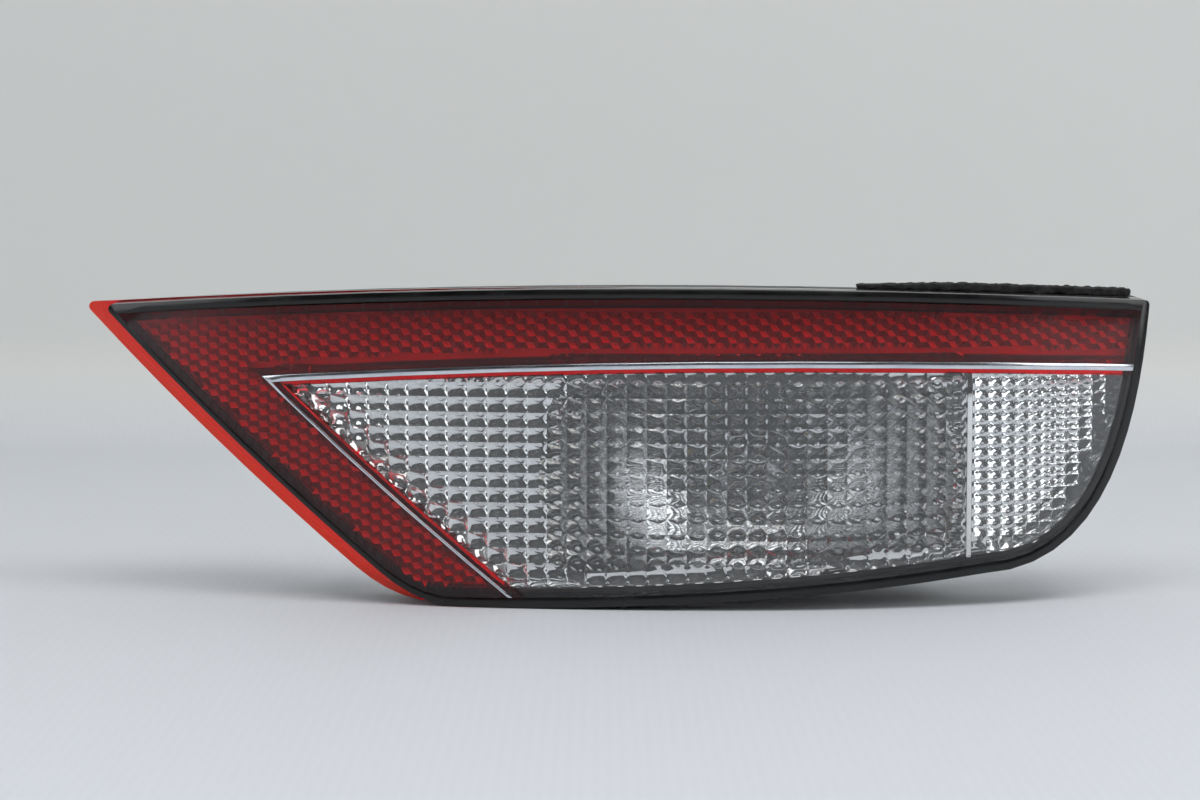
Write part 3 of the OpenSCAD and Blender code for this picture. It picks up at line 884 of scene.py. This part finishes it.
@dataclass
class ReflectorRim:
    """The reflector's bright rim behind the red lip, beside and above the window. Sizes are in millimetres."""

    name: str = "reflector_rim"
    front: float = 4.5
    back: float = 9.8
    inset: float = 1.3
    drop: float = 0.6
    low: float = 6.8
    right: float = 150.0
    thick: float = 0.9
    bend: float = 0.35
    steps: int = 80
    rows: int = 4

    def build(self) -> bpy.types.Object:
        """Builds the rim from a long grid that is laid along the window's edge and given thickness.

        Returns:
            The finished rim.
        """
        Bench.clear()
        bpy.ops.mesh.primitive_grid_add(x_subdivisions=self.steps, y_subdivisions=self.rows, size=1.0)
        piece = bpy.context.object
        Bench.settle(piece, self.name)
        for vertex in piece.data.vertices:
            along, deep = vertex.co.x + 0.5, vertex.co.y + 0.5
            x, z = self._edge(along)
            vertex.co = (x * MM, (self.front + deep * (self.back - self.front)) * MM, z * MM)
        Bench.modify(piece, "SOLIDIFY", thickness=self.thick * MM, offset=0.0)
        Bench.wrap(piece)
        Bench.shade(piece, Shading.SMOOTH)
        return dress_new(piece, METALLISED)

    def _edge(self, along: float) -> tuple[float, float]:
        """Finds a place on the window's edge.

        Args:
            along: Share of the way, up the slanting side and then along the top.

        Returns:
            The X and Z of that place.
        """
        shift, drop = FACE.window_shift - self.inset, FACE.window_drop - self.drop
        corner_x, corner_z = FACE.corner_left_x, FACE.strip_top
        for _ in range(CORNER_PASSES):
            corner_x = FACE.slant_x(corner_z) + shift
            corner_z = FACE.strip_z(corner_x) - drop
        if along < self.bend:
            z = self.low + (corner_z - self.low) * along / self.bend
            return FACE.slant_x(z) + shift, z
        x = corner_x + (self.right - corner_x) * (along - self.bend) / (1 - self.bend)
        return x, FACE.strip_z(x) - drop


@dataclass
class Partition:
    """The upright rib between the two fields of the window. Sizes are in millimetres."""

    name: str = "window_partition"
    x: float = 103.2
    width: float = 1.6
    low: float = 14.0
    high: float = 67.5
    front: float = 4.6
    back: float = 9.4
    cuts: int = 6
    edge: float = 0.3

    def build(self) -> bpy.types.Object:
        """Builds the rib as a slab with broken edges.

        Returns:
            The finished rib.
        """
        Bench.clear()
        middle = (self.x * MM, (self.front + self.back) / 2 * MM, (self.low + self.high) / 2 * MM)
        bpy.ops.mesh.primitive_cube_add(size=1.0, location=middle)
        piece = bpy.context.object
        piece.scale = (self.width * MM, (self.back - self.front) * MM, (self.high - self.low) * MM)
        Bench.settle(piece, self.name)
        Bench.edit(piece)
        bpy.ops.mesh.subdivide(number_cuts=self.cuts)
        Bench.clear()
        Bench.modify(piece, "BEVEL", width=self.edge * MM, segments=3, limit_method="ANGLE",
                     angle_limit=math.radians(CORNER_DEGREES))
        Bench.wrap(piece)
        Bench.shade(piece, Shading.SMOOTH)
        return dress_new(piece, METALLISED)


def dress_new(piece: bpy.types.Object, finish: Finish) -> bpy.types.Object:
    """Dresses a piece that stands for no CAD node.

    Args:
        piece: The object to dress.
        finish: Its finish.

    Returns:
        The same object.
    """
    piece.data.materials.clear()
    piece.data.materials.append(finish.material())
    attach(piece, "root")
    LOG.info("%s: %d faces, finish %s", piece.name, len(piece.data.polygons), finish.name)
    return piece


@dataclass
class LensAssembly:
    """The two shots of the lens with their optics, trim, gasket and foam."""

    pieces: list[FittedPiece] = field(default_factory=lambda: [
        RedShot("red_lens", Slot.RED_LENS, RED_SHOT),
        FittedPiece("clear_lens", Slot.CLEAR_LENS, CLEAR_SHOT),
        FittedPiece("bright_trim", Slot.BRIGHT_TRIM, FOIL, bevel=0.25),
        FittedPiece("perimeter_gasket", Slot.GASKET, GASKET, bevel=0.6),
        FoamStrip("foam_strip", Slot.FOAM, FOAM),
        FittedPiece("reflex_backing", Slot.REFLEX_BACKING, BACKING),
        FittedPiece("seal_bead", Slot.SEAL_BEAD, SEALANT),
    ])
    fields: list[PillowField] = field(default_factory=lambda: [
        PillowField("window_pillows", -122.0, 101.9, 5.7, 4.3),
        PillowField("window_pillows_right", 104.6, 152.6, 4.0, 3.3, crown=1.6),
    ])

    def build(self) -> list[bpy.types.Object]:
        """Builds every piece of the lens.

        Returns:
            The finished pieces.
        """
        made = [piece.build() for piece in self.pieces]
        made += [optics.build() for optics in self.fields]
        made += [ReflexField().build(), ReflectorRim().build(), Partition().build()]
        return made


@dataclass
class LampBody:
    """The housing with the reflector and everything screwed or pushed into it."""

    pieces: list[FittedPiece] = field(default_factory=lambda: [
        FittedPiece("reflector", Slot.REFLECTOR, METALLISED),
        FittedPiece("housing", Slot.HOUSING, HOUSING, bevel=0.25),
        FittedPiece("vent_cap", Slot.GASKET, SOFT_RUBBER, bevel=0.2),
        FittedPiece("insert_left", Slot.INSERT, INSERT_BRASS, bevel=0.15),
        FittedPiece("insert_right", Slot.INSERT, INSERT_BRASS, bevel=0.15),
        FittedPiece("reflector_screw_left", Slot.SCREW, ZINC, bevel=0.1),
        FittedPiece("reflector_screw_right", Slot.SCREW, ZINC, bevel=0.1),
        FittedPiece("spring_clip", Slot.SPRING, SPRING, bevel=0.1),
    ])

    def build(self) -> list[bpy.types.Object]:
        """Returns the finished pieces of the body."""
        return [piece.build() for piece in self.pieces]


@dataclass
class BulbAndHolder:
    """The bulb, its holder and the two terminals."""

    pieces: list[FittedPiece] = field(default_factory=lambda: [
        FittedPiece("bulb_glass", Slot.BULB_GLASS, BULB_GLASS),
        FittedPiece("bulb_cap", Slot.BULB_CAP, CAP_BRASS, bevel=0.1),
        FittedPiece("bulb_contact", Slot.BULB_CONTACT, INSULATOR),
        FittedPiece("bulb_filament", Slot.BULB_FILAMENT, TUNGSTEN),
        FittedPiece("bulb_holder", Slot.BULB_HOLDER, HOLDER, bevel=0.25),
        FittedPiece("holder_seal", Slot.GASKET, SOFT_RUBBER, bevel=0.2),
        FittedPiece("terminal_live", Slot.TERMINAL, TINNED, bevel=0.1),
        FittedPiece("terminal_earth", Slot.TERMINAL, TINNED, bevel=0.1),
    ])

    def build(self) -> list[bpy.types.Object]:
        """Returns the finished pieces of the bulb and its holder."""
        return [piece.build() for piece in self.pieces]


@dataclass(frozen=True)
class SoftBox:
    """A rectangular studio lamp, in metres."""

    name: str
    place: Point
    aim: Point
    width: float
    height: float
    watts: float
    colour: tuple[float, float, float] = (1.0, 1.0, 1.0)

    def build(self) -> bpy.types.Object:
        """Hangs the lamp and turns it to what it lights.

        Returns:
            The lamp.
        """
        Bench.clear()
        bpy.ops.object.light_add(type="AREA", location=self.place)
        lamp = bpy.context.object
        lamp.name = self.name
        lamp.data.shape = "RECTANGLE"
        lamp.data.size = self.width
        lamp.data.size_y = self.height
        lamp.data.energy = self.watts
        lamp.data.color = self.colour
        towards = Vector(self.aim) - Vector(self.place)
        lamp.rotation_euler = towards.to_track_quat("-Z", "Y").to_euler()
        return lamp


@dataclass
class Studio:
    """The pale sweep, the lamps, the room light and the camera, in metres."""

    lens_mm: float = 94.7
    camera_place: Point = (-0.0035, -0.9396, 0.1395)
    pitch_down: float = 5.0
    sensor_mm: float = 36.0
    clip: tuple[float, float] = (0.01, 30.0)
    sweep_near: float = -2.2
    sweep_far: float = 0.46
    sweep_half: float = 3.0
    wall_high: float = 1.6
    cove: float = 0.05
    rib_colour: Colour = (0.62, 0.64, 0.68, 1)
    floor_colour: Colour = (0.73, 0.755, 0.795, 1)
    wall_colour: Colour = (0.80, 0.81, 0.785, 1)
    beyond_colour: Colour = (0.60, 0.61, 0.60, 1)
    room_strength: float = 0.8
    room_steps: tuple[tuple[float, Colour], ...] = (
        (0.10, (0.03, 0.03, 0.032, 1)),
        (0.30, (0.14, 0.14, 0.145, 1)),
        (0.45, (0.55, 0.56, 0.58, 1)),
        (0.85, (0.95, 0.96, 0.98, 1)),
    )
    lamps: list[SoftBox] = field(default_factory=lambda: [
        SoftBox("key_over_front", (0.15, -0.55, 1.35), (0.0, 0.0, 0.04), 1.5, 0.8, 10.2),
        SoftBox("window_left", (-1.3, -0.75, 0.55), (0.0, 0.0, 0.04), 0.5, 0.9, 3.2, (0.95, 0.98, 1.0)),
        SoftBox("window_right", (1.25, -0.55, 0.5), (0.05, 0.0, 0.04), 0.7, 0.7, 3.6, (0.96, 0.98, 1.0)),
        SoftBox("strip_over_camera", (0.1, -1.15, 0.55), (0.04, 0.0, 0.045), 0.8, 0.22, 1.1),
    ])

    def build(self) -> None:
        """Sets up everything that isn't part of the object."""
        self._camera()
        self._sweep()
        self._room()
        for lamp in self.lamps:
            lamp.build()
        bpy.context.scene.view_settings.view_transform = "Standard"

    def _camera(self) -> None:
        """Places the camera at the photograph's viewing angle."""
        Bench.clear()
        bpy.ops.object.camera_add(location=self.camera_place,
                                  rotation=(math.radians(90 - self.pitch_down), 0, 0))
        camera = bpy.context.object
        camera.name = "product_camera"
        camera.data.sensor_width = self.sensor_mm
        camera.data.lens = self.lens_mm
        camera.data.clip_start, camera.data.clip_end = self.clip
        bpy.context.scene.camera = camera

    def _sweep(self) -> None:
        """Builds floor and wall as one sheet with a rounded cove."""
        Bench.clear()
        deep = self.sweep_far - self.sweep_near
        bpy.ops.mesh.primitive_plane_add(size=1.0, location=(0, (self.sweep_far + self.sweep_near) / 2, 0))
        sweep = bpy.context.object
        sweep.scale = (2 * self.sweep_half, deep, 1)
        Bench.settle(sweep, "pale_sweep")
        Bench.take(sweep)
        bpy.context.tool_settings.mesh_select_mode = (False, True, False)
        bpy.ops.object.mode_set(mode="EDIT")
        bpy.ops.mesh.select_all(action="DESELECT")
        bpy.ops.object.mode_set(mode="OBJECT")
        for edge in sweep.data.edges:
            edge.select = all(sweep.data.vertices[i].co.y > self.sweep_far - 0.01 for i in edge.vertices)
        bpy.ops.object.mode_set(mode="EDIT")
        bpy.ops.mesh.extrude_region_move(TRANSFORM_OT_translate={"value": (0, 0, self.wall_high)})
        Bench.clear()
        Bench.modify(sweep, "BEVEL", width=self.cove, segments=16, limit_method="ANGLE",
                     angle_limit=math.radians(CORNER_DEGREES))
        Bench.shade(sweep, Shading.SMOOTH, SOFT_DEGREES)
        sweep.data.materials.append(self._sweep_material())

    def _sweep_material(self) -> bpy.types.Material:
        """Builds the sheet's finish: a finely ribbed pale floor that turns into a plain wall.

        Returns:
            The material, which is see-through from behind.
        """
        material = bpy.data.materials.new("pale_sheet")
        material.use_nodes = True
        sheet = NodeSheet(material.node_tree)
        place = sheet.add("ShaderNodeTexCoord").outputs["Object"]
        height = sheet.add("ShaderNodeSeparateXYZ", {0: place}).outputs[2]
        ribs = sheet.add("ShaderNodeTexWave", {"Vector": place, "Scale": 105.0, "Distortion": 0.4,
                                               "Detail Scale": 0.3}, bands_direction="X")
        rib_tone = sheet.span(ribs.outputs[1], 0.0, 0.10)
        floor = sheet.blend(rib_tone, self.floor_colour, self.rib_colour)
        colour = sheet.blend(sheet.span(height, 0.0, 1.0, 0.0, 0.03), floor, self.wall_colour)
        shader = sheet.add("ShaderNodeBsdfPrincipled", {"Base Color": colour, "Roughness": 0.55,
                                                        "Specular IOR Level": 0.2})
        behind = sheet.add("ShaderNodeNewGeometry").outputs["Backfacing"]
        clear = sheet.add("ShaderNodeBsdfTransparent")
        mixed = sheet.add("ShaderNodeMixShader", {0: behind, 1: shader.outputs[0], 2: clear.outputs[0]})
        sheet.add("ShaderNodeOutputMaterial", {"Surface": mixed.outputs[0]})
        return material

    def _room(self) -> None:
        """Builds the room light: bright above, dim level with the lamp, dimmer on the camera's side."""
        world = bpy.data.worlds.new("soft_room")
        bpy.context.scene.world = world
        world.use_nodes = True
        sheet = NodeSheet(world.node_tree)
        way = sheet.add("ShaderNodeTexCoord").outputs["Generated"]
        parts = sheet.add("ShaderNodeSeparateXYZ", {0: way})
        upward = sheet.add("ShaderNodeValToRGB", {0: sheet.span(parts.outputs[2], 0.0, 1.0, -0.2, 1.0)})
        ramp = upward.color_ramp
        for stop, (share, _) in zip(ramp.elements, (self.room_steps[0], self.room_steps[-1])):
            stop.position = share
        for share, _ in self.room_steps[1:-1]:
            ramp.elements.new(share)
        for stop, (_, colour) in zip(ramp.elements, self.room_steps):
            stop.color = colour
        near = sheet.span(parts.outputs[1], 0.22, 1.0, -0.9, 0.2)
        side = sheet.span(parts.outputs[0], 0.35, 1.0, -0.6, 0.35)
        both = sheet.add("ShaderNodeMath", {0: near, 1: side}, operation="MULTIPLY")
        dimmed = sheet.add("ShaderNodeVectorMath", {0: upward.outputs[0]}, operation="SCALE")
        sheet.tree.links.new(both.outputs[0], dimmed.inputs["Scale"])
        seen = sheet.add("ShaderNodeLightPath").outputs["Is Camera Ray"]
        colour = sheet.blend(seen, dimmed.outputs[0], self.beyond_colour)
        background = sheet.add("ShaderNodeBackground", {"Color": colour, "Strength": self.room_strength})
        sheet.add("ShaderNodeOutputWorld", {"Surface": background.outputs[0]})


def main() -> None:
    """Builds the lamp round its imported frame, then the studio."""
    logging.basicConfig(level=logging.INFO, format="%(name)s %(message)s")
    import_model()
    LensAssembly().build()
    LampBody().build()
    BulbAndHolder().build()
    Studio().build()


if __name__ == "__main__":
    main()
